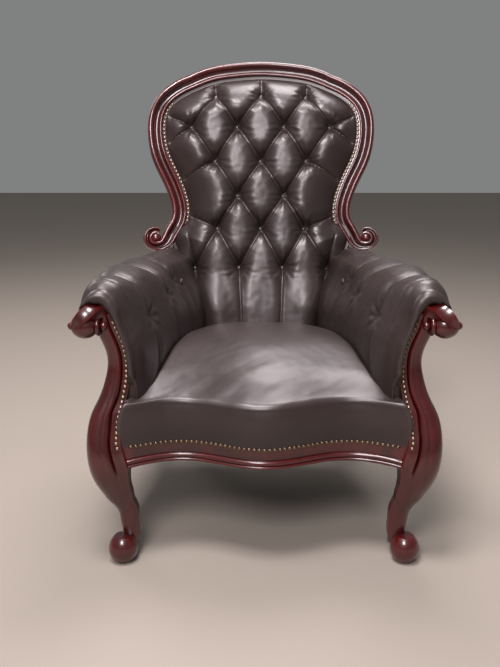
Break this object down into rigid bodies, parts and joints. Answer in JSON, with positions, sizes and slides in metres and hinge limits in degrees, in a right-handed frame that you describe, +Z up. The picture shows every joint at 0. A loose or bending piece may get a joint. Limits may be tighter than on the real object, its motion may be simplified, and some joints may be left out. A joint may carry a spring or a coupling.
{
  "type": "armchair",
  "caption": "Victorian mahogany spoon back armchair with deep-buttoned dark brown leather, carved arm scrolls and cabriole front legs",
  "frame": {"origin": "middle of the chair's footprint box on the floor", "axes": "+Z up, the sitter faces -Y, +X is the right side as seen from the front"},
  "size_m": [0.734, 0.7786, 1.0055],
  "materials": {
    "polished_mahogany": "French polished, dark red brown",
    "beech": "plain sawn and planed",
    "dark_leather": "waxed hide, worn lighter on the crowns",
    "hair_stuffing": "teased hair under wadding",
    "jute_webbing": "woven jute",
    "hessian": "open woven jute cloth",
    "black_cloth": "thin black cotton",
    "spring_steel": "coppered wire, dull",
    "screw_steel": "plain",
    "antique_brass": "aged, rubbed on the domes"
  },
  "bodies": {
    "root": {"front_post_left": "polished_mahogany", "front_post_right": "polished_mahogany", "arm_scroll_left": "polished_mahogany", "arm_scroll_right": "polished_mahogany", "back_post_left": "polished_mahogany", "back_post_right": "polished_mahogany", "side_rail_left": "polished_mahogany", "side_rail_right": "polished_mahogany", "front_corner_block_left": "beech", "front_corner_block_right": "beech", "rear_corner_block_left": "beech", "rear_corner_block_right": "beech", "arm_cover_left": "dark_leather", "arm_cover_right": "dark_leather", "arm_stuffing_left": "hair_stuffing", "arm_stuffing_right": "hair_stuffing", "arm_rail_left": "beech", "arm_rail_right": "beech", "arm_tack_rail_left": "beech", "arm_tack_rail_right": "beech", "outside_arm_cover_left": "dark_leather", "outside_arm_cover_right": "dark_leather", "post_nails_left": "antique_brass", "post_nails_right": "antique_brass", "side_nails_left": "antique_brass", "side_nails_right": "antique_brass", "front_rail": "polished_mahogany", "back_rail": "polished_mahogany", "back_tack_rail": "beech", "crest_rail": "polished_mahogany", "frame_dowels": "beech", "corner_block_screws": "screw_steel", "arm_buttons": "dark_leather", "back_cover": "dark_leather", "back_stuffing": "hair_stuffing", "back_buttons": "dark_leather", "back_hessian": "hessian", "back_webbing_cross": "jute_webbing", "back_webbing_upright": "jute_webbing", "outside_back_cover": "dark_leather", "seat_cover": "dark_leather", "seat_stuffing": "hair_stuffing", "seat_hessian": "hessian", "seat_springs": "spring_steel", "seat_webbing_long": "jute_webbing", "seat_webbing_cross": "jute_webbing", "bottoming_cloth": "black_cloth", "hoop_nails": "antique_brass", "rail_nails": "antique_brass"}
  },
  "joints": []
}
